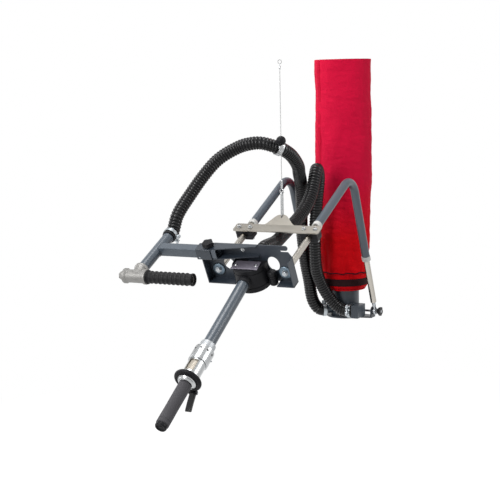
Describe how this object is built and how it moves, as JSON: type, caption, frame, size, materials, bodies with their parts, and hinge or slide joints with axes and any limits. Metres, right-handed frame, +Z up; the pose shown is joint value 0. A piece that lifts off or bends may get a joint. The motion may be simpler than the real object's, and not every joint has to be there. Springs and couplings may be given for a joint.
{
  "type": "vacuum lifter",
  "caption": "Vacuum tube lifter with a sleeved lifting tube, two-arm tilting frame, long twist handle, sliding side grip and corrugated hoses.",
  "frame": {"origin": "centre of the top face of the ring at the head of the lifting tube, from which the lifter hangs", "axes": "+Z up along the lifting tube, +X along the ear pivots, -Y towards the operator handle"},
  "size_m": [0.489, 1.32, 0.9683],
  "materials": {
    "frame_paint": "blue-grey powder coat",
    "bracket_paint": "dark grey powder coat",
    "cover_paint": "grey-violet satin paint",
    "stainless": "satin stainless steel",
    "polished": "polished steel",
    "cast_aluminium": "bare cast aluminium",
    "galvanised": "matte galvanised steel",
    "zinc": "bright zinc plate",
    "black_plastic": "black moulded plastic",
    "black_rubber": "black rubber",
    "grip_foam": "dark grey soft grip",
    "grip_rubber": "black ribbed rubber",
    "hose_black": "black corrugated hose",
    "red_fabric": "crimson coated fabric",
    "webbing": "black webbing strap",
    "bronze": "bronze-coloured spool",
    "lift_rubber": "grey lifting hose"
  },
  "bodies": {
    "hanger": {"top_ring": "cast_aluminium", "cover_sleeve": "red_fabric", "lift_hose": "lift_rubber"},
    "base": {"lower_adapter": "bracket_paint", "base_plate": "bracket_paint", "sleeve_strap": "webbing", "pivot_spindle": "zinc", "left_pivot_bolt": "zinc", "handle_hose_clamp": "galvanised", "side_hose_base_clamp": "galvanised"},
    "ear_knob": {"pivot_knob": "black_plastic"},
    "frame": {"arm_left": "frame_paint", "arm_right": "frame_paint", "rear_rod_left": "stainless", "rear_rod_right": "stainless", "rod_end_left": "black_plastic", "rod_end_right": "black_plastic", "front_rod_left": "stainless", "front_rod_right": "stainless", "pipe_clamp_left": "black_plastic", "pipe_clamp_right": "black_plastic", "spreader_plate": "stainless", "spreader_bolt_1": "polished", "spreader_bolt_2": "polished", "spreader_bolt_3": "polished", "spreader_bolt_4": "polished", "bracket": "bracket_paint", "arm_sleeve": "bracket_paint", "rod_washer_left": "frame_paint", "rod_washer_right": "frame_paint", "rod_bolt_left": "zinc", "rod_bolt_right": "zinc", "hub": "black_rubber", "hub_cover": "cover_paint", "hub_hose_stub": "bracket_paint", "vent_cap": "black_plastic", "handle_tube": "frame_paint", "valve_collar": "cast_aluminium", "valve_drum": "polished", "valve_sleeve": "polished", "guard_ring": "black_rubber", "grip_dome": "polished", "lever_clevis": "black_plastic", "handle_hose": "hose_black", "side_hose": "hose_black"},
    "side_handle": {"side_arm": "frame_paint", "tee_fitting": "galvanised", "tee_plug": "galvanised", "side_grip": "grip_rubber", "side_hose_clamp": "galvanised"},
    "lock_knob": {"arm_lock_knob": "black_plastic"},
    "grip": {"twist_grip": "grip_foam", "grip_end_cap": "black_rubber", "valve_spool": "bronze"},
    "lever": {"release_lever": "black_plastic"},
    "wire": {"balancer_wire": "stainless", "wire_thimble": "polished", "wire_link": "polished", "wire_ball": "black_rubber", "hose_clip": "polished"}
  },
  "joints": [
    {"name": "lift", "type": "slide", "parent": "hanger", "child": "base", "axis": [0, 0, 1], "range_m": [0, 0.4], "deforming": ["cover_sleeve", "lift_hose"]},
    {"name": "frame_tilt", "type": "hinge", "parent": "base", "child": "frame", "pos_m": [0, 0, -0.85], "axis": [1, 0, 0], "range_deg": [-8, 25], "deforming": ["handle_hose", "side_hose"]},
    {"name": "ear_knob_turn", "type": "hinge", "parent": "base", "child": "ear_knob", "pos_m": [0.1189, 0, -0.85], "axis": [1, 0, 0], "range_deg": [-180, 180]},
    {"name": "side_arm_slide", "type": "slide", "parent": "frame", "child": "side_handle", "axis": [1, 0, 0], "range_m": [0, 0.06]},
    {"name": "arm_lock_turn", "type": "hinge", "parent": "frame", "child": "lock_knob", "pos_m": [-0.112, -0.73817, -0.54654], "axis": [0, -0.4509, 0.8926], "range_deg": [-180, 180]},
    {"name": "grip_twist", "type": "hinge", "parent": "frame", "child": "grip", "pos_m": [0.006, -0.71297, -0.62903], "axis": [0, -0.8387, -0.5446], "range_deg": [-35, 35], "stiffness_Nm_per_rad": 1.2},
    {"name": "lever_squeeze", "type": "hinge", "parent": "frame", "child": "lever", "pos_m": [0.006, -1.04645, -0.90283], "axis": [1, 0, 0], "range_deg": [-20, 0], "stiffness_Nm_per_rad": 0.5, "springref_deg": 2.86},
    {"name": "wire_swing", "type": "hinge", "parent": "frame", "child": "wire", "pos_m": [0, -0.47475, -0.47898], "axis": [1, 0, 0], "range_deg": [-25, 8]}
  ],
  "couplings": [
    {"joint": "wire_swing", "follows": "frame_tilt", "ratio": -1}
  ]
}
